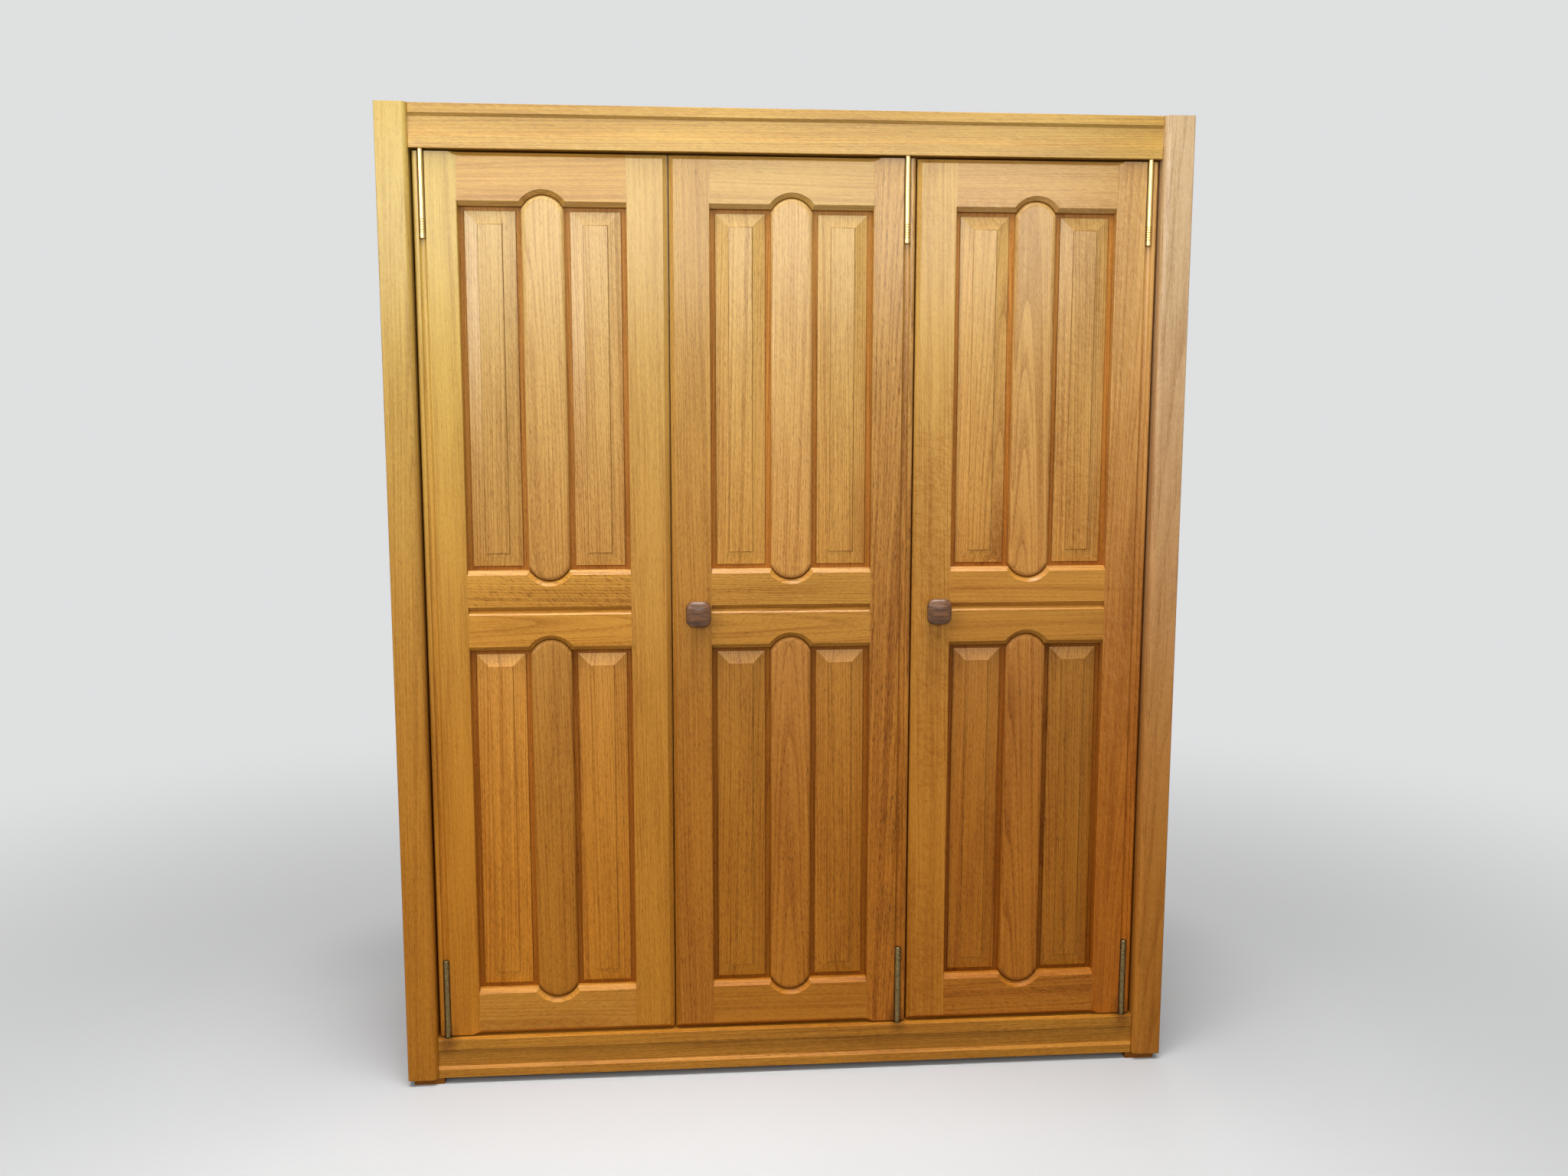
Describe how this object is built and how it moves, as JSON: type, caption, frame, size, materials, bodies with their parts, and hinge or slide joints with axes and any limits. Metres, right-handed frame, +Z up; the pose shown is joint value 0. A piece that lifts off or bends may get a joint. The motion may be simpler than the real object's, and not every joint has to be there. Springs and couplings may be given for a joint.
{
  "type": "wardrobe",
  "caption": "Three-door panelled oak wardrobe with raised panels, round-ended pilasters, brass pivot rods and square cushion knobs.",
  "frame": {"origin": "on the floor, under the middle of the object's whole box", "axes": "+X to the viewer's right, +Y from the doors to the back, +Z up"},
  "size_m": [1.54, 0.616, 1.903],
  "materials": {
    "oak_frame": "satin varnish",
    "oak_panel": "satin varnish",
    "walnut": "polished",
    "brass": "polished, tarnished low down",
    "steel": "zinc plated",
    "catch": "moulded brown"
  },
  "bodies": {
    "carcass": {"back_panels": "oak_panel", "bottom_board": "oak_frame", "bottom_front_rail": "oak_frame", "door_catches": "catch", "feet": "oak_frame", "hanging_rail": "brass", "hat_shelf": "oak_frame", "left_front_post": "oak_frame", "left_rear_post": "oak_frame", "left_side_panels": "oak_panel", "left_side_rails": "oak_frame", "linen_shelves": "oak_frame", "partition": "oak_frame", "pivot_bushes": "brass", "rail_sockets": "brass", "rear_muntins": "oak_frame", "rear_rails": "oak_frame", "right_front_post": "oak_frame", "right_rear_post": "oak_frame", "right_side_panels": "oak_panel", "right_side_rails": "oak_frame", "shelf_cleats": "oak_frame", "top_board": "oak_frame", "top_front_rail": "oak_frame", "wood_screws": "steel"},
    "left_door": {"left_door_bottom_rail": "oak_frame", "left_door_free_stile": "oak_frame", "left_door_hinge_stile": "oak_frame", "left_door_middle_rails": "oak_frame", "left_door_panels": "oak_panel", "left_door_pilasters": "oak_panel", "left_door_pivot_rods": "brass", "left_door_pivot_screws": "steel", "left_door_strike": "steel", "left_door_top_rail": "oak_frame"},
    "middle_door": {"middle_door_bottom_rail": "oak_frame", "middle_door_free_stile": "oak_frame", "middle_door_hinge_stile": "oak_frame", "middle_door_knob": "walnut", "middle_door_middle_rails": "oak_frame", "middle_door_panels": "oak_panel", "middle_door_pilasters": "oak_panel", "middle_door_pivot_rods": "brass", "middle_door_pivot_screws": "steel", "middle_door_strike": "steel", "middle_door_top_rail": "oak_frame"},
    "right_door": {"right_door_bottom_rail": "oak_frame", "right_door_free_stile": "oak_frame", "right_door_hinge_stile": "oak_frame", "right_door_knob": "walnut", "right_door_middle_rails": "oak_frame", "right_door_panels": "oak_panel", "right_door_pilasters": "oak_panel", "right_door_pivot_rods": "brass", "right_door_pivot_screws": "steel", "right_door_strike": "steel", "right_door_top_rail": "oak_frame"}
  },
  "joints": [
    {"name": "left_door_swing", "type": "hinge", "parent": "carcass", "child": "left_door", "pos_m": [-0.6915, -0.272, 0.958], "axis": [0, 0, -1], "range_deg": [0, 135]},
    {"name": "middle_door_swing", "type": "hinge", "parent": "carcass", "child": "middle_door", "pos_m": [0.21867, -0.272, 0.958], "axis": [0, 0, 1], "range_deg": [0, 130]},
    {"name": "right_door_swing", "type": "hinge", "parent": "carcass", "child": "right_door", "pos_m": [0.6915, -0.272, 0.958], "axis": [0, 0, 1], "range_deg": [0, 135]}
  ]
}
